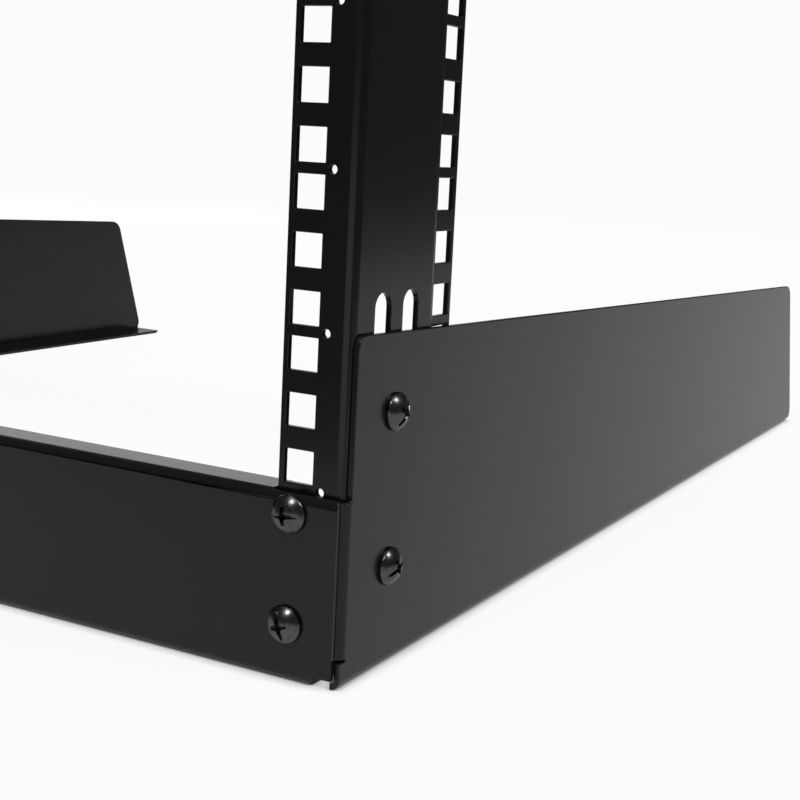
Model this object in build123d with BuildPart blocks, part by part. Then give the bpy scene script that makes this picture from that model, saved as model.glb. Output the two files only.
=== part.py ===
from build123d import *
import os

os.makedirs("parts", exist_ok=True)

# Rack pattern (millimetres, as are all sizes here)
rack_unit = 44.45
unit_count = 8
hole_column_span = 465.1
hole_size = 9.5
first_hole_rise = 6.35
hole_pitch = 15.875
index_hole_size = 2.5
index_hole_offset = 7.3

# Folded sheet steel, with its powder coat
sheet = 1.8
bend_outer = 3.0
seat_clearance = 0.3

# Post: front flange, web, and a rear strip set in by a joggle
flange_edge_strip = 1.8
web_offset = 15.5
web_depth = 44.1
joggle_depth = 1.0
joggle_run = 2.0
strip_end = 58.3
strip_edge = 1.75
slot_width = 8.6
slot_length = 27.0
slot_top = 110.0
slot_front = 11.9
slot_pitch = 15.55

# Cross bars: a channel with a shallow flange at each long edge
bar_height = 54.3
bar_end_step = 1.75
bar_flange = 12.0
bar_flange_stop = 6.9
bar_corner_round = 1.6
bay_margin = 0.3

# Side plates: tapered feet with a bottom flange and a short front lip
plate_length_bottom = 507.0
plate_length_top = 480.0
plate_front_height = 99.4
plate_rear_height = 82.3
plate_flange = 22.0
plate_front_round = 4.0
plate_rear_round = 9.0
plate_heel_round = 6.0
lip_bottom = 8.5
lip_drop = 1.0
lip_relief = 0.6

# Screws and nuts
screw_size = 6.0
screw_length = 12.0
head_size = 11.2
head_height = 3.8
head_rim = 0.9
nut_across_flats = 10.0
nut_height = 4.8
thread_clearance = 0.05
screw_hole = 6.6
side_screw_depth = 26.4
side_screw_low = 30.0
side_screw_pitch = 45.6

# Heights worked out from the sizes above
bay_bottom = bar_height + bay_margin
bay_top = bay_bottom + unit_count * rack_unit
total_height = bay_top + bay_bottom
post_foot = bend_outer + seat_clearance
post_height = total_height - 2 * post_foot
bar_screw_heights = [bay_bottom - first_hole_rise - 2 * hole_pitch, bay_bottom - first_hole_rise]
side_screw_heights = [side_screw_low, side_screw_low + side_screw_pitch]
lip_top = bar_height - lip_drop

# Places from front to back: the origin is at the middle of the whole outline
rear_rake = (plate_length_bottom - plate_length_top) / plate_rear_height
heel_set_in = plate_heel_round * (rear_rake + (1 + rear_rake**2) ** 0.5 - 1)
overall_depth = plate_length_bottom - heel_set_in + head_height
bar_front = head_height - overall_depth / 2
lip_front = bar_front + sheet
post_front = lip_front + sheet
plate_front = lip_front + bend_outer
plate_back_bottom = bar_front + plate_length_bottom
plate_back_top = bar_front + plate_length_top

# Places from the middle to the right
hole_x = hole_column_span / 2
flange_edge_x = hole_x - hole_size / 2 - flange_edge_strip
web_x = hole_x + web_offset
plate_x = web_x + sheet
strip_x = web_x - joggle_depth
bar_end_x = plate_x - bar_end_step
mid_radius = bend_outer - sheet / 2

hole_heights = []
for unit in range(unit_count):
    for step in range(3):
        rise = unit * rack_unit + first_hole_rise + step * hole_pitch
        hole_heights.append(bay_bottom + rise)
boundary_heights = [bay_bottom + unit * rack_unit for unit in range(unit_count + 1)]


def both_ends(heights):
    """The same heights measured up from the bottom and down from the top."""
    return list(heights) + [total_height - height for height in heights]


def save(node, name):
    node.part.label = name
    export_step(node.part, f"parts/{name}.step")


# Right post: one folded strip of sheet, the same from either end
with BuildPart() as post_right:
    with BuildSketch(Plane.XY.offset(post_foot)):
        with BuildLine():
            FilletPolyline(
                (flange_edge_x, post_front + sheet / 2),
                (web_x - sheet / 2, post_front + sheet / 2),
                (web_x - sheet / 2, post_front + web_depth),
                (strip_x - sheet / 2, post_front + web_depth + joggle_run),
                (strip_x - sheet / 2, post_front + strip_end),
                radius=mid_radius,
            )
        trace(line_width=sheet)
    extrude(amount=post_height)

    # Square mounting holes, round index holes and bar screws in the front flange
    with BuildSketch(Plane((0, post_front, 0), x_dir=(1, 0, 0), z_dir=(0, -1, 0))):
        with Locations([(hole_x, height) for height in hole_heights]):
            Rectangle(hole_size, hole_size)
        with Locations([(hole_x + index_hole_offset, height) for height in boundary_heights]):
            Circle(index_hole_size / 2)
        with Locations([(hole_x, height) for height in both_ends(bar_screw_heights)]):
            Circle(screw_hole / 2)
    extrude(amount=-2 * sheet, mode=Mode.SUBTRACT)

    # Square holes in the rear strip, at the same heights
    strip_hole_y = post_front + strip_end - strip_edge - hole_size / 2
    with BuildSketch(Plane((strip_x, 0, 0), x_dir=(0, 1, 0), z_dir=(1, 0, 0))):
        with Locations([(strip_hole_y, height) for height in hole_heights]):
            Rectangle(hole_size, hole_size)
    extrude(amount=-2 * sheet, mode=Mode.SUBTRACT)

    # Pairs of slots and screw holes in the web, at the foot and at the head
    slot_depths = [slot_front + slot_width / 2, slot_front + slot_width / 2 + slot_pitch]
    slot_heights = both_ends([slot_top - slot_length / 2])
    side_screw_y = bar_front + side_screw_depth
    with BuildSketch(Plane((web_x, 0, 0), x_dir=(0, 1, 0), z_dir=(1, 0, 0))):
        with Locations([(post_front + y, z) for y in slot_depths for z in slot_heights]):
            SlotOverall(slot_length, slot_width, rotation=90)
        with Locations([(side_screw_y, z) for z in both_ends(side_screw_heights)]):
            Circle(screw_hole / 2)
    extrude(amount=-2 * sheet, mode=Mode.SUBTRACT)
save(post_right, "post_right")

with BuildPart() as post_left:
    mirror(post_right.part, about=Plane.YZ)
save(post_left, "post_left")


# Right side plate: the foot that carries the post
with BuildPart() as side_plate_right:
    # Upright face and bottom flange
    with BuildSketch(Plane((0, lip_front, 0), x_dir=(1, 0, 0), z_dir=(0, -1, 0))):
        with BuildLine():
            FilletPolyline(
                (plate_x - plate_flange, sheet / 2),
                (plate_x - sheet / 2, sheet / 2),
                (plate_x - sheet / 2, plate_front_height),
                radius=mid_radius,
            )
        trace(line_width=sheet)
    extrude(amount=-(plate_back_bottom - lip_front))

    # Tapered outline seen from the side
    with BuildSketch(Plane((0, 0, 0), x_dir=(0, 1, 0), z_dir=(1, 0, 0))):
        with BuildLine():
            Polyline(
                (lip_front, 0),
                (plate_back_bottom, 0),
                (plate_back_top, plate_rear_height),
                (plate_front, plate_front_height),
                (plate_front, lip_bottom - lip_relief),
                (lip_front, lip_bottom - lip_relief),
                close=True,
            )
        make_face()
        fillet(vertices().sort_by(Axis.Y)[-2], plate_rear_round)
        fillet(vertices().sort_by(Axis.Y)[-1], plate_front_round)
        fillet(vertices().group_by(Axis.Y)[0].sort_by(Axis.X)[-1], plate_heel_round)
    extrude(amount=plate_x, mode=Mode.INTERSECT)

    # Front lip behind the cross bar
    with BuildSketch(Plane.XY.offset(lip_bottom)):
        with BuildLine():
            FilletPolyline(
                (plate_x - sheet / 2, plate_front + bend_outer),
                (plate_x - sheet / 2, lip_front + sheet / 2),
                (flange_edge_x, lip_front + sheet / 2),
                radius=mid_radius,
            )
        trace(line_width=sheet)
    extrude(amount=lip_top - lip_bottom)

    # Bottom flange clipped at its front corner to clear the bar's flange
    clip_x = bar_end_x - bar_flange_stop + seat_clearance
    clip_y = bar_front + bar_flange + seat_clearance
    with BuildSketch(Plane.XY):
        with BuildLine():
            Polyline(
                (plate_x - plate_flange, lip_front),
                (plate_x - bend_outer, lip_front),
                (clip_x, clip_y),
                (plate_x - plate_flange, clip_y + clip_x - plate_x + plate_flange),
                close=True,
            )
        make_face()
    extrude(amount=sheet, mode=Mode.SUBTRACT)

    # Screw holes
    with BuildSketch(Plane((plate_x, 0, 0), x_dir=(0, 1, 0), z_dir=(1, 0, 0))):
        with Locations([(side_screw_y, height) for height in side_screw_heights]):
            Circle(screw_hole / 2)
    extrude(amount=-2 * sheet, mode=Mode.SUBTRACT)
    with BuildSketch(Plane((0, lip_front, 0), x_dir=(1, 0, 0), z_dir=(0, -1, 0))):
        with Locations([(hole_x, height) for height in bar_screw_heights]):
            Circle(screw_hole / 2)
    extrude(amount=-2 * sheet, mode=Mode.SUBTRACT)
save(side_plate_right, "side_plate_right")

with BuildPart() as side_plate_left:
    mirror(side_plate_right.part, about=Plane.YZ)
save(side_plate_left, "side_plate_left")


def make_bar(name, front, edge_height, up):
    """A cross bar, with its outer edge at a height and its inner edge towards up."""
    profile = Plane((0, front, edge_height), x_dir=(0, 1, 0), z_dir=(up, 0, 0))
    face = Plane((0, front, edge_height), x_dir=(up, 0, 0), z_dir=(0, -1, 0))
    with BuildPart() as bar:
        with BuildSketch(profile):
            with BuildLine():
                FilletPolyline(
                    (bar_flange, sheet / 2),
                    (sheet / 2, sheet / 2),
                    (sheet / 2, bar_height - sheet / 2),
                    (bar_flange, bar_height - sheet / 2),
                    radius=mid_radius,
                )
            trace(line_width=sheet)
        extrude(amount=bar_end_x, both=True)

        for side in (1, -1):
            # Inner flange stopped at the post
            notch_start = flange_edge_x - seat_clearance
            with BuildSketch(profile.offset(side * notch_start)):
                with Locations((sheet, bar_height - bend_outer)):
                    Rectangle(bar_flange, bend_outer, align=(Align.MIN, Align.MIN))
            extrude(amount=side * (bar_end_x - notch_start), mode=Mode.SUBTRACT)

            # Outer flange stopped short of the side plate's flange
            with BuildSketch(profile.offset(side * (bar_end_x - bar_flange_stop))):
                Rectangle(bar_flange, bend_outer, align=(Align.MIN, Align.MIN))
            extrude(amount=side * bar_flange_stop, mode=Mode.SUBTRACT)

        # Rounded corners at the inner edge
        with BuildSketch(face):
            with Locations((0, bar_height / 2)):
                Rectangle(2 * bar_end_x, bar_height)
            fillet(vertices().group_by(Axis.Y)[-1], bar_corner_round)
        extrude(amount=-bar_flange, mode=Mode.INTERSECT)

        with BuildSketch(face):
            with Locations([(x, z) for x in (hole_x, -hole_x) for z in bar_screw_heights]):
                Circle(screw_hole / 2)
        extrude(amount=-sheet, mode=Mode.SUBTRACT)
    save(bar, name)


make_bar("front_bar", bar_front, 0, 1)
make_bar("top_bar", lip_front, total_height, -1)


def make_screw(name, seat):
    """A screw with a domed head that stands on the seat plane."""
    dome_rise = head_height - head_rim
    dome_radius = (head_size**2 / 4 + dome_rise**2) / (2 * dome_rise)
    quarter = head_size / 4
    dome_middle = (quarter, head_height - dome_radius + (dome_radius**2 - quarter**2) ** 0.5)
    profile = Plane(seat.origin, x_dir=-seat.x_dir, z_dir=seat.y_dir)
    with BuildPart() as screw:
        with BuildSketch(profile):
            with BuildLine():
                Polyline(
                    (0, head_height),
                    (0, -screw_length),
                    (screw_size / 2, -screw_length),
                    (screw_size / 2, 0),
                    (head_size / 2, 0),
                    (head_size / 2, head_rim),
                )
                ThreePointArc((head_size / 2, head_rim), dome_middle, (0, head_height))
            make_face()
        revolve(axis=Axis(seat.origin, seat.z_dir))
    save(screw, name)


def make_nut(name, seat):
    """A hexagon nut on the far side of the sheets, standing away from the seat plane."""
    with BuildPart() as nut:
        with BuildSketch(seat):
            RegularPolygon(nut_across_flats / 2, 6, major_radius=False)
            Circle(screw_size / 2 + thread_clearance, mode=Mode.SUBTRACT)
        extrude(amount=nut_height)
    save(nut, name)


def fasten(name, point, outward, grip):
    """A screw with its head at a point, and its nut behind the sheets that it grips."""
    outward = Vector(*outward)
    make_screw(f"{name}_screw", Plane(point, z_dir=outward))
    make_nut(f"{name}_nut", Plane(Vector(*point) - outward * grip, z_dir=-outward))


for side_name, side in (("left", -1), ("right", 1)):
    for level_name, level in (("lower", 0), ("upper", 1)):
        bar_height_here = bar_screw_heights[level]
        fasten(
            f"front_bar_{side_name}_{level_name}",
            (side * hole_x, bar_front, bar_height_here),
            (0, -1, 0),
            3 * sheet,
        )
        fasten(
            f"top_bar_{side_name}_{level_name}",
            (side * hole_x, lip_front, total_height - bar_screw_heights[1 - level]),
            (0, -1, 0),
            2 * sheet,
        )
        fasten(
            f"side_plate_{side_name}_{level_name}",
            (side * plate_x, side_screw_y, side_screw_heights[level]),
            (side, 0, 0),
            2 * sheet,
        )
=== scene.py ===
"""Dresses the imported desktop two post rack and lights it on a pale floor."""

import math

import bmesh
import bpy
from mathutils import Euler, Matrix, Vector


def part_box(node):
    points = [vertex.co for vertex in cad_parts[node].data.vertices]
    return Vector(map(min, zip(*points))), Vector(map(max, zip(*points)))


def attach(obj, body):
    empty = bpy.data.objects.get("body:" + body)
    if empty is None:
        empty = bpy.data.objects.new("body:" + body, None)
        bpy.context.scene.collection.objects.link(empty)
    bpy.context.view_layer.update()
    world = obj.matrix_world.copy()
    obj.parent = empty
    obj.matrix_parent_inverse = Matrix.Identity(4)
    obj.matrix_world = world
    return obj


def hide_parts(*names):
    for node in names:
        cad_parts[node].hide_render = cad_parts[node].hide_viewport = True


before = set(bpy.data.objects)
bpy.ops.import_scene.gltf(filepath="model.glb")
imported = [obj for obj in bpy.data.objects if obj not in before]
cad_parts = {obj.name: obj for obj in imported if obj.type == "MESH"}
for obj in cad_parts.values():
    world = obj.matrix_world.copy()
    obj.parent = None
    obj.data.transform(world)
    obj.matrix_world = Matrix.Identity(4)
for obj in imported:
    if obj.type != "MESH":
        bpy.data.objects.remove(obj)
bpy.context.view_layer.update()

MM = 0.001

SHEET_NODES = ["front_bar", "top_bar", "post_left", "post_right", "side_plate_left", "side_plate_right"]
SCREW_NODES = sorted(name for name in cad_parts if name.endswith("_screw"))
NUT_NODES = sorted(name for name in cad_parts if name.endswith("_nut"))

# Sheet: how much paint rounds its cut edges, and the angle up to which an edge is part of a bend
EDGE_ROUND = 0.3 * MM
EDGE_STEPS = 3
BEND_ANGLE_LIMIT = math.radians(40)

# Mesh clean-up: points closer than this are joined, and faces that meet at less than this are merged
WELD_DISTANCE = 0.002 * MM
FLAT_ANGLE = math.radians(0.5)

# Shading: the most that large faces can count for in the normals
LARGE_FACE_WEIGHT = 100

# Screw head: a low dome on a straight rim, with its lower and upper edge broken
HEAD_HEIGHT = 3.8 * MM
HEAD_RIM = 0.9 * MM
HEAD_SEGMENTS = 96
DOME_STEPS = 24
RIM_TOP_DROP = 0.175 * MM
RIM_TOP_INSET = 0.042 * MM
RIM_FOOT_BREAK = 0.14 * MM

# Recess: a cross that tapers to its floor, a square core where its arms meet, and a long slot
CROSS_SPAN = 6.0 * MM
CROSS_SPAN_BELOW = 2.2 * MM
CROSS_WIDTH = 1.35 * MM
CROSS_WIDTH_BELOW = 0.9 * MM
CROSS_DEPTH = 2.6 * MM
CORE_WIDTH = 1.62 * CROSS_WIDTH
CORE_WIDTH_BELOW = 0.945 * CROSS_WIDTH
SLOT_LENGTH = 9.6 * MM
SLOT_WIDTH = 1.2 * MM
SLOT_DEPTH = 1.5 * MM

# Thread: coarse metric, a hair thinner than the plain shank, and reaching a little into the head
THREAD_RADIUS = 3.0 * MM
THREAD_PITCH = 1.0 * MM
THREAD_DEPTH = 0.6 * MM
THREAD_GAP = 0.03 * MM
THREAD_SEGMENTS = 48
THREAD_ROWS_PER_TURN = 8
SHANK_IN_HEAD = 0.2 * MM
TIP_SLOPE = 0.9

# How far each screw is turned, in degrees, seen from its head: as in the photo, and others in steps
SCREW_TURNS = {
    "front_bar_right_upper_screw": 4,
    "front_bar_right_lower_screw": 108,
    "side_plate_right_upper_screw": 58,
    "side_plate_right_lower_screw": 24,
}
SPARE_TURN_STEP = 41

# Nut: a hexagon whose corners are turned off by a cone, and a bore a little wider than the thread
NUT_SIDES = 6
NUT_TURN = 30
NUT_FACE_SHARE = 0.96
NUT_CONE_REACH = 1.02
NUT_CONE_SLOPE = math.tan(math.radians(30))
NUT_BORE_CHAMFER = 0.45 * MM
NUT_BORE_GAP = 0.05 * MM

# Screws and nuts: the wear of their edges, and how far a cutter stands beyond what it cuts
WORN_ROUND = 0.06 * MM
WORN_STEPS = 2
CUT_BEYOND = 0.5 * MM


def new_object(name, data):
    """An object for a mesh, lamp or camera, in the scene."""
    made = bpy.data.objects.new(name, data)
    bpy.context.scene.collection.objects.link(made)
    return made


def mesh_from(bm, name):
    """A mesh from a bmesh, which is freed."""
    mesh = bpy.data.meshes.new(name)
    bm.to_mesh(mesh)
    bm.free()
    return mesh


def smooth(mesh):
    """Shades every face of a mesh smooth."""
    mesh.polygons.foreach_set("use_smooth", [True] * len(mesh.polygons))
    return mesh


def merge_flat_faces(bm):
    """Merges the faces of a bmesh that lie in one plane."""
    bmesh.ops.dissolve_limit(bm, angle_limit=FLAT_ANGLE, verts=bm.verts, edges=bm.edges)


def baked(made):
    """The object's mesh with its modifiers applied."""
    bpy.context.view_layer.update()
    depsgraph = bpy.context.evaluated_depsgraph_get()
    return bpy.data.meshes.new_from_object(made.evaluated_get(depsgraph))


def boolean(base, cutter, operation):
    """The mesh left when one mesh is cut, or clipped, by another."""
    base_object = new_object("boolean_base", base)
    cutter_object = new_object("boolean_cutter", cutter)
    modifier = base_object.modifiers.new("cut", "BOOLEAN")
    modifier.operation = operation
    modifier.object = cutter_object
    modifier.solver = "EXACT"
    modifier.use_self = True
    result = baked(base_object)
    for made in (base_object, cutter_object):
        bpy.data.objects.remove(made)
    return result


def ring_of(bm, radius, height, count):
    """Points of a bmesh on a circle round Z."""
    ring = []
    for index in range(count):
        angle = 2 * math.pi * index / count
        ring.append(bm.verts.new((radius * math.cos(angle), radius * math.sin(angle), height)))
    return ring


def revolved(profile, segments, name):
    """A closed solid turned round Z from a profile of (radius, height) that starts and ends on the axis."""
    bm = bmesh.new()
    rings = []
    for radius, height in profile:
        rings.append(ring_of(bm, radius, height, segments if radius else 1))
    for first, second in zip(rings, rings[1:]):
        for index in range(segments):
            following = (index + 1) % segments
            corners = [
                first[index % len(first)],
                second[index % len(second)],
                second[following % len(second)],
                first[following % len(first)],
            ]
            corners = list(dict.fromkeys(corners))
            if len(corners) > 2:
                bm.faces.new(corners)
    bmesh.ops.recalc_face_normals(bm, faces=bm.faces)
    return mesh_from(bm, name)


def arc(centre, radius, start, end, steps):
    """Points of an arc in the profile plane, from one angle to another."""
    points = []
    for index in range(steps + 1):
        angle = start + (end - start) * index / steps
        points.append((centre[0] + radius * math.cos(angle), centre[1] + radius * math.sin(angle)))
    return points


# Modifiers


def round_edges(piece, name, width, steps):
    """Rounds the sharp edges of a piece with a bevel, which is returned."""
    rounding = piece.modifiers.new(name, "BEVEL")
    rounding.width = width
    rounding.segments = steps
    rounding.limit_method = "ANGLE"
    rounding.angle_limit = BEND_ANGLE_LIMIT
    return rounding


def keep_faces_flat(piece):
    """Lets the large faces of a smooth piece decide its normals, so that they look flat."""
    shading = piece.modifiers.new("flat_faces", "WEIGHTED_NORMAL")
    shading.weight = LARGE_FACE_WEIGHT


# Materials

# The part of the noise's range in which most of its values lie
NOISE_LOW = 0.3
NOISE_HIGH = 0.7

COAT_DARK = (0.0076, 0.0076, 0.0082)
COAT_LIGHT = (0.009, 0.0089, 0.0095)
COAT_SPECULAR = 0.32
SCREW_DARK = (0.085, 0.085, 0.09)
SCREW_LIGHT = (0.125, 0.125, 0.13)
NUT_DARK = (0.07, 0.07, 0.075)
NUT_LIGHT = (0.11, 0.11, 0.115)


def noise_fac(nodes, links, scale, detail):
    """A noise over the surface, fixed to the object."""
    where = nodes.new("ShaderNodeTexCoord")
    noise = nodes.new("ShaderNodeTexNoise")
    noise.inputs["Scale"].default_value = scale
    noise.inputs["Detail"].default_value = detail
    links.new(where.outputs["Object"], noise.inputs["Vector"])
    return noise.outputs["Fac"]


def grain(nodes, links, scale, strength, distance, normal=None):
    """A bump node driven by fine noise, on top of another normal."""
    bump = nodes.new("ShaderNodeBump")
    bump.inputs["Strength"].default_value = strength
    bump.inputs["Distance"].default_value = distance
    links.new(noise_fac(nodes, links, scale, detail=2.0), bump.inputs["Height"])
    if normal is not None:
        links.new(normal, bump.inputs["Normal"])
    return bump.outputs["Normal"]


def mottled(nodes, links, scale, low, high):
    """A value that wanders between two limits over the surface."""
    spread = nodes.new("ShaderNodeMapRange")
    spread.inputs["From Min"].default_value = NOISE_LOW
    spread.inputs["From Max"].default_value = NOISE_HIGH
    spread.inputs["To Min"].default_value = low
    spread.inputs["To Max"].default_value = high
    links.new(noise_fac(nodes, links, scale, detail=3.0), spread.inputs["Value"])
    return spread.outputs["Result"]


def tinted(nodes, links, value, dark, light):
    """A colour between two, chosen by a value."""
    mix = nodes.new("ShaderNodeMix")
    mix.data_type = "RGBA"
    mix.inputs["A"].default_value = (*dark, 1)
    mix.inputs["B"].default_value = (*light, 1)
    links.new(value, mix.inputs["Factor"])
    return mix.outputs["Result"]


def new_material(name):
    """A node material and its parts."""
    material = bpy.data.materials.new(name)
    material.use_nodes = True
    tree = material.node_tree
    return material, tree.nodes, tree.links, tree.nodes["Principled BSDF"]


def make_powder_coat():
    """Black powder coat: half gloss, with a fine orange peel and faint mottling."""
    material, nodes, links, shader = new_material("powder_coat_black")
    value = mottled(nodes, links, scale=60, low=0, high=1)
    links.new(tinted(nodes, links, value, COAT_DARK, COAT_LIGHT), shader.inputs["Base Color"])
    shader.inputs["Specular IOR Level"].default_value = COAT_SPECULAR
    roughness = mottled(nodes, links, scale=300, low=0.19, high=0.235)
    links.new(roughness, shader.inputs["Roughness"])
    peel = grain(nodes, links, scale=900, strength=0.06, distance=0.12 * MM)
    fine_peel = grain(nodes, links, scale=2600, strength=0.10, distance=0.06 * MM, normal=peel)
    links.new(fine_peel, shader.inputs["Normal"])
    return material


def make_plated(name, dark, light, rough_low, rough_high):
    """Blackened plated steel of a screw or nut."""
    material, nodes, links, shader = new_material(name)
    value = mottled(nodes, links, scale=700, low=0, high=1)
    links.new(tinted(nodes, links, value, dark, light), shader.inputs["Base Color"])
    shader.inputs["Metallic"].default_value = 1.0
    roughness = mottled(nodes, links, scale=1500, low=rough_low, high=rough_high)
    links.new(roughness, shader.inputs["Roughness"])
    links.new(grain(nodes, links, scale=4000, strength=0.1, distance=0.04 * MM), shader.inputs["Normal"])
    return material


powder_coat = make_powder_coat()
screw_black = make_plated("screw_black_zinc", SCREW_DARK, SCREW_LIGHT, rough_low=0.22, rough_high=0.32)
nut_black = make_plated("nut_black_zinc", NUT_DARK, NUT_LIGHT, rough_low=0.26, rough_high=0.38)


# Sheet metal


def mark_outer_edges(bm):
    """Gives the sharp outer edges of a bmesh the weight by which a bevel picks them."""
    weight = bm.edges.layers.float.new("bevel_weight_edge")
    for edge in bm.edges:
        if edge.is_convex and edge.calc_face_angle(0) > BEND_ANGLE_LIMIT:
            edge[weight] = 1.0


def painted_sheet(node):
    """A sheet piece like its CAD node, with the cut edges rounded by paint."""
    bm = bmesh.new()
    bm.from_mesh(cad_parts[node].data)
    bmesh.ops.remove_doubles(bm, verts=bm.verts, dist=WELD_DISTANCE)
    merge_flat_faces(bm)
    # Where a bar's flanges end there are inside corners, whose bevel would send points far off
    outer_edges_only = node.endswith("_bar")
    if outer_edges_only:
        mark_outer_edges(bm)
    piece = new_object(f"{node}_painted", smooth(mesh_from(bm, f"{node}_painted")))
    piece.data.materials.append(powder_coat)
    rounding = round_edges(piece, "paint_edge", EDGE_ROUND, EDGE_STEPS)
    # Clamped, the short facets of the bends would shrink the rounding of every edge to nothing
    rounding.use_clamp_overlap = False
    if outer_edges_only:
        rounding.limit_method = "WEIGHT"
    keep_faces_flat(piece)
    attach(piece, "root")
    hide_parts(node)


for node_name in SHEET_NODES:
    painted_sheet(node_name)


# Screws and nuts


def frustum(bm, top, bottom, top_height, bottom_height):
    """A tapered block from (length, width) at the top to (length, width) at the bottom."""
    corners = []
    for (length, width), height in ((bottom, bottom_height), (top, top_height)):
        for x, y in ((-1, -1), (1, -1), (1, 1), (-1, 1)):
            corners.append(bm.verts.new((x * length / 2, y * width / 2, height)))
    bmesh.ops.convex_hull(bm, input=corners)


def recess_cutter():
    """What is cut from a screw's head: a tapered cross, its core, and a long slot over one of its arms."""
    bm = bmesh.new()
    above = HEAD_HEIGHT + CUT_BEYOND
    floor_height = HEAD_HEIGHT - CROSS_DEPTH
    spread = (above - floor_height) / CROSS_DEPTH
    span = CROSS_SPAN_BELOW + (CROSS_SPAN - CROSS_SPAN_BELOW) * spread
    width = CROSS_WIDTH_BELOW + (CROSS_WIDTH - CROSS_WIDTH_BELOW) * spread
    below = (CROSS_SPAN_BELOW, CROSS_WIDTH_BELOW)
    frustum(bm, (span, width), below, above, floor_height)
    frustum(bm, (width, span), below[::-1], above, floor_height)
    core = (CORE_WIDTH, CORE_WIDTH)
    core_below = (CORE_WIDTH_BELOW, CORE_WIDTH_BELOW)
    frustum(bm, core, core_below, above, floor_height)
    slot = (SLOT_LENGTH, SLOT_WIDTH)
    frustum(bm, slot, slot, above, HEAD_HEIGHT - SLOT_DEPTH)
    bmesh.ops.recalc_face_normals(bm, faces=bm.faces)
    return mesh_from(bm, "recess_cutter")


def head_mesh(head_radius):
    """The domed head with its recess, standing on the seat plane."""
    rise = HEAD_HEIGHT - HEAD_RIM
    dome_radius = (head_radius**2 + rise**2) / (2 * rise)
    reach = math.asin(head_radius / dome_radius)
    top = math.pi / 2
    dome = arc((0, HEAD_HEIGHT - dome_radius), dome_radius, top, top - reach, DOME_STEPS)
    rim = [
        (head_radius - RIM_TOP_INSET, HEAD_RIM),
        (head_radius, HEAD_RIM - RIM_TOP_DROP),
        (head_radius, RIM_FOOT_BREAK),
        (head_radius - RIM_FOOT_BREAK, 0),
    ]
    profile = [(0, HEAD_HEIGHT)] + dome[1:-1] + rim + [(0, 0)]
    plain = revolved(profile, HEAD_SEGMENTS, "screw_head")
    return boolean(plain, recess_cutter(), "DIFFERENCE")


def threaded_shank(bm, radius, length):
    """Adds a closed threaded shank from inside the head, above the seat plane, down to its tip."""
    rows = round(length / THREAD_PITCH * THREAD_ROWS_PER_TURN)
    rings = []
    for row in range(rows + 1):
        depth = length * row / rows
        height = SHANK_IN_HEAD if row == 0 else -depth
        tip_taper = max(0.0, depth - (length - THREAD_PITCH)) * TIP_SLOPE
        ring = []
        for index in range(THREAD_SEGMENTS):
            turn = index / THREAD_SEGMENTS
            phase = (depth / THREAD_PITCH + turn) % 1.0
            cut = THREAD_DEPTH * (1 - abs(2 * phase - 1))
            here = min(radius - cut, radius - tip_taper)
            angle = 2 * math.pi * turn
            ring.append(bm.verts.new((here * math.cos(angle), here * math.sin(angle), height)))
        rings.append(ring)
    for first, second in zip(rings, rings[1:]):
        for index in range(THREAD_SEGMENTS):
            following = (index + 1) % THREAD_SEGMENTS
            bm.faces.new([first[index], second[index], second[following], first[following]])
    bm.faces.new(rings[0])
    bm.faces.new(rings[-1][::-1])


def screw_mesh(head_radius, shank_radius, length):
    """A whole screw along Z, with its seat plane at height zero."""
    bm = bmesh.new()
    bm.from_mesh(head_mesh(head_radius))
    merge_flat_faces(bm)
    threaded_shank(bm, shank_radius, length)
    bmesh.ops.recalc_face_normals(bm, faces=bm.faces)
    return smooth(mesh_from(bm, "screw"))


def hexagon_mesh(corner_radius, height):
    """A plain hexagonal block along Z, from height zero up."""
    bm = bmesh.new()
    face = bm.faces.new(ring_of(bm, corner_radius, 0, NUT_SIDES))
    lifted = bmesh.ops.extrude_face_region(bm, geom=[face])["geom"]
    top = [item for item in lifted if isinstance(item, bmesh.types.BMVert)]
    bmesh.ops.translate(bm, verts=top, vec=(0, 0, height))
    bmesh.ops.recalc_face_normals(bm, faces=bm.faces)
    return mesh_from(bm, "nut_hexagon")


def nut_mesh(across_flats, height, bore_radius):
    """A hexagon nut along Z, from the seat plane up, with turned corners and a chamfered bore."""
    corner_radius = across_flats / 2 / math.cos(math.pi / NUT_SIDES)
    face_radius = across_flats / 2 * NUT_FACE_SHARE
    reach = corner_radius * NUT_CONE_REACH
    drop = (reach - face_radius) * NUT_CONE_SLOPE
    lens = [(0, 0), (face_radius, 0), (reach, drop)]
    lens += [(reach, height - drop), (face_radius, height), (0, height)]
    hexagon = hexagon_mesh(corner_radius, height)
    turned = boolean(hexagon, revolved(lens, HEAD_SEGMENTS, "nut_lens"), "INTERSECT")
    mouth = bore_radius + NUT_BORE_CHAMFER + CUT_BEYOND
    bore = [
        (0, -CUT_BEYOND),
        (mouth, -CUT_BEYOND),
        (bore_radius, NUT_BORE_CHAMFER),
        (bore_radius, height - NUT_BORE_CHAMFER),
        (mouth, height + CUT_BEYOND),
        (0, height + CUT_BEYOND),
    ]
    return smooth(boolean(turned, revolved(bore, THREAD_SEGMENTS, "nut_bore"), "DIFFERENCE"))


def outward_of(node):
    """The direction in which a fastener's head points, from the name of what it holds."""
    if node.startswith("side_plate"):
        return Vector((-1 if "left" in node else 1, 0, 0))
    return Vector((0, -1, 0))


def seat_of(node, outward, beyond_seat):
    """The point where a fastener's axis meets its seat: this far inside its outermost point."""
    low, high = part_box(node)
    middle = (low + high) / 2
    axis = 0 if outward.x else 1
    outermost = high[axis] if outward[axis] > 0 else low[axis]
    middle[axis] = outermost - outward[axis] * beyond_seat
    return middle


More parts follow.
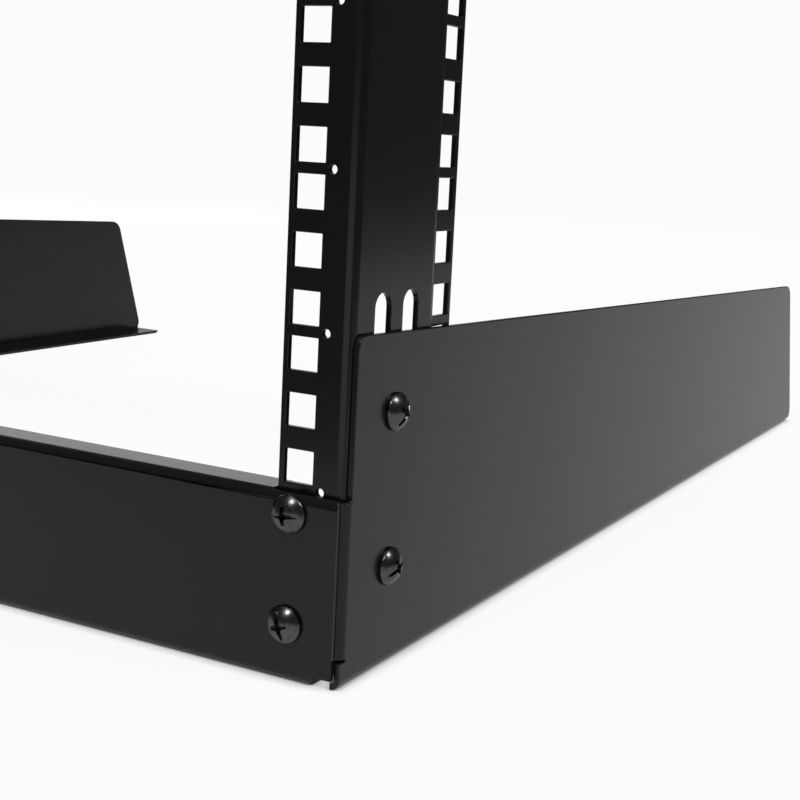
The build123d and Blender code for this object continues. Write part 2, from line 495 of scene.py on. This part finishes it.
def placed(mesh, name, seat, direction, turn):
    """A copy of a mesh made along Z, put on a seat in a direction and turned about it."""
    copy = mesh.copy()
    upright = Vector((0, 0, 1))
    side = upright.cross(direction)
    stand = Matrix((side, upright, direction)).transposed().to_4x4()
    copy.transform(Matrix.Translation(seat) @ stand @ Matrix.Rotation(math.radians(turn), 4, "Z"))
    return new_object(name, copy)


def finish_fastener(piece, node, material):
    """Rounds a fastener's edges a little and hands it over in place of its node."""
    piece.data.materials.append(material)
    round_edges(piece, "worn_edge", WORN_ROUND, WORN_STEPS)
    keep_faces_flat(piece)
    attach(piece, "root")
    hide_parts(node)


screw_low, screw_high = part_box("front_bar_right_upper_screw")
head_diameter = screw_high.x - screw_low.x
shank_length = screw_high.y - screw_low.y - HEAD_HEIGHT
plain_screw = screw_mesh(head_diameter / 2, THREAD_RADIUS - THREAD_GAP, shank_length)

nut_low, nut_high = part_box("front_bar_right_upper_nut")
nut_flats = min(nut_high.x - nut_low.x, nut_high.z - nut_low.z)
nut_height = nut_high.y - nut_low.y
plain_nut = nut_mesh(nut_flats, nut_height, THREAD_RADIUS + NUT_BORE_GAP)

for index, node_name in enumerate(SCREW_NODES):
    away = outward_of(node_name)
    turn = SCREW_TURNS.get(node_name, index * SPARE_TURN_STEP)
    piece = placed(plain_screw, f"{node_name}_turned", seat_of(node_name, away, HEAD_HEIGHT), away, turn)
    finish_fastener(piece, node_name, screw_black)

for node_name in NUT_NODES:
    away = outward_of(node_name)
    piece = placed(plain_nut, f"{node_name}_turned", seat_of(node_name, away, 0), -away, NUT_TURN)
    finish_fastener(piece, node_name, nut_black)


# Studio: a pale floor that ends a little in front of the rack, in a dim room with a bright ceiling

FLOOR_FRONT = -0.47
FLOOR_BACK = 2.4
FLOOR_LEFT = -5.0
FLOOR_RIGHT = 0.95
FLOOR_WHITE = 0.88
FLOOR_ROUGHNESS = 0.9
FLOOR_SPECULAR = 0.1

# How much of the floor's shading gives way to plain white, and that white in mirror images
FLOOR_LIFT = 0.9
MIRRORED_WHITE = 0.68

# The white ends this near to the object, which leaves a dark line of shadow under it
CONTACT_REACH = 4 * MM
CONTACT_SAMPLES = 8

# The background that the camera sees, and the room that lights the rack and shows in its paint
SEEN_WHITE = 0.965
ROOM_GREY = 0.08
CEILING_WHITE = 1.2
CEILING_STARTS = math.radians(62)
CEILING_FULL = math.radians(74)

CAMERA_PLACE = (0.44103, -0.56161, 0.15166)
CAMERA_TURNS = (82.335, -3.248, 26.521)
CAMERA_SENSOR = 36
CAMERA_LENS = 62.1
CAMERA_SHIFT_X = -0.1027
CAMERA_SHIFT_Y = -0.084
CAMERA_NEAR = 0.01


def joined_values(nodes, links, operation, first, second):
    """The result of a math node on two values."""
    joined = nodes.new("ShaderNodeMath")
    joined.operation = operation
    links.new(first, joined.inputs[0])
    links.new(second, joined.inputs[1])
    return joined.outputs["Value"]


def mixed_shaders(nodes, links, factor, first, second):
    """The mix of two shaders, from the first at 0 to the second at 1."""
    mix = nodes.new("ShaderNodeMixShader")
    links.new(factor, mix.inputs["Fac"])
    links.new(first, mix.inputs[1])
    links.new(second, mix.inputs[2])
    return mix.outputs["Shader"]


def floor_material():
    """A pale floor, white to the camera and in mirror images, but for the shadow at its contacts."""
    material, nodes, links, shader = new_material("pale_floor")
    shader.inputs["Base Color"].default_value = (FLOOR_WHITE, FLOOR_WHITE, FLOOR_WHITE, 1)
    shader.inputs["Roughness"].default_value = FLOOR_ROUGHNESS
    shader.inputs["Specular IOR Level"].default_value = FLOOR_SPECULAR
    path = nodes.new("ShaderNodeLightPath")
    camera_ray = path.outputs["Is Camera Ray"]
    glow = nodes.new("ShaderNodeMapRange")
    glow.inputs["To Min"].default_value = MIRRORED_WHITE
    links.new(camera_ray, glow.inputs["Value"])
    white = nodes.new("ShaderNodeEmission")
    links.new(glow.outputs["Result"], white.inputs["Strength"])
    lift = nodes.new("ShaderNodeValue")
    lift.outputs["Value"].default_value = FLOOR_LIFT
    contact = nodes.new("ShaderNodeAmbientOcclusion")
    contact.samples = CONTACT_SAMPLES
    contact.inputs["Distance"].default_value = CONTACT_REACH
    seen = joined_values(nodes, links, "MAXIMUM", camera_ray, path.outputs["Is Glossy Ray"])
    lifted = joined_values(nodes, links, "MULTIPLY", seen, lift.outputs["Value"])
    open_floor = joined_values(nodes, links, "MULTIPLY", lifted, contact.outputs["AO"])
    surface = mixed_shaders(nodes, links, open_floor, shader.outputs["BSDF"], white.outputs["Emission"])
    links.new(surface, nodes["Material Output"].inputs["Surface"])
    return material


def make_floor():
    """A flat pale floor, part of the stage."""
    bm = bmesh.new()
    outline = (
        (FLOOR_LEFT, FLOOR_FRONT),
        (FLOOR_RIGHT, FLOOR_FRONT),
        (FLOOR_RIGHT, FLOOR_BACK),
        (FLOOR_LEFT, FLOOR_BACK),
    )
    bm.faces.new([bm.verts.new((x, y, 0)) for x, y in outline])
    floor = new_object("floor", mesh_from(bm, "floor"))
    floor.data.materials.append(floor_material())


def make_world():
    """A dim room with a bright ceiling, which the camera sees as a plain, almost white background."""
    world = bpy.data.worlds.new("studio")
    bpy.context.scene.world = world
    world.use_nodes = True
    nodes = world.node_tree.nodes
    links = world.node_tree.links
    room = nodes["Background"]
    where = nodes.new("ShaderNodeTexCoord")
    split = nodes.new("ShaderNodeSeparateXYZ")
    links.new(where.outputs["Generated"], split.inputs["Vector"])
    height = nodes.new("ShaderNodeMapRange")
    height.interpolation_type = "SMOOTHSTEP"
    height.inputs["From Min"].default_value = math.sin(CEILING_STARTS)
    height.inputs["From Max"].default_value = math.sin(CEILING_FULL)
    height.inputs["To Min"].default_value = ROOM_GREY
    height.inputs["To Max"].default_value = CEILING_WHITE
    links.new(split.outputs["Z"], height.inputs["Value"])
    links.new(height.outputs["Result"], room.inputs["Color"])
    white = nodes.new("ShaderNodeBackground")
    white.inputs["Color"].default_value = (SEEN_WHITE, SEEN_WHITE, SEEN_WHITE, 1)
    camera_ray = nodes.new("ShaderNodeLightPath").outputs["Is Camera Ray"]
    surface = mixed_shaders(nodes, links, camera_ray, room.outputs["Background"], white.outputs["Background"])
    links.new(surface, nodes["World Output"].inputs["Surface"])


def direction_to(azimuth, elevation):
    """A unit vector towards a place in the room: azimuth from the back of the rack towards its right."""
    turn = math.radians(azimuth)
    rise = math.radians(elevation)
    return Vector((math.sin(turn) * math.cos(rise), math.cos(turn) * math.cos(rise), math.sin(rise)))


def add_sun(name, azimuth, elevation, strength, spread):
    """A far soft light in a direction."""
    lamp = bpy.data.lights.new(name, "SUN")
    lamp.energy = strength
    lamp.angle = math.radians(spread)
    made = new_object(name, lamp)
    made.rotation_euler = direction_to(azimuth, elevation).to_track_quat("Z", "Y").to_euler()


def add_softbox(name, azimuth, elevation, distance, width, height, power):
    """A rectangular softbox that faces the rack and isn't seen by the camera."""
    lamp = bpy.data.lights.new(name, "AREA")
    lamp.shape = "RECTANGLE"
    lamp.size = width
    lamp.size_y = height
    lamp.energy = power
    made = new_object(name, lamp)
    towards = direction_to(azimuth, elevation)
    made.location = towards * distance
    made.rotation_euler = towards.to_track_quat("Z", "Y").to_euler()
    made.visible_camera = False


def make_camera():
    """The camera at the photograph's place, angle and framing."""
    data = bpy.data.cameras.new("camera")
    data.sensor_width = CAMERA_SENSOR
    data.lens = CAMERA_LENS
    data.shift_x = CAMERA_SHIFT_X
    data.shift_y = CAMERA_SHIFT_Y
    data.clip_start = CAMERA_NEAR
    camera = new_object("camera", data)
    camera.location = CAMERA_PLACE
    camera.rotation_euler = Euler([math.radians(angle) for angle in CAMERA_TURNS], "XYZ")
    bpy.context.scene.camera = camera


make_floor()
make_world()
add_sun("key_light", azimuth=181, elevation=59, strength=1.3, spread=12)
add_sun("side_light", azimuth=76, elevation=51, strength=0.9, spread=12)
add_softbox("left_fill", azimuth=-42, elevation=22, distance=2.2, width=1.6, height=1.1, power=5.2)
add_softbox("front_fill", azimuth=165, elevation=-6, distance=2.2, width=2.4, height=0.75, power=4.5)
make_camera()
bpy.context.scene.view_settings.view_transform = "Standard"
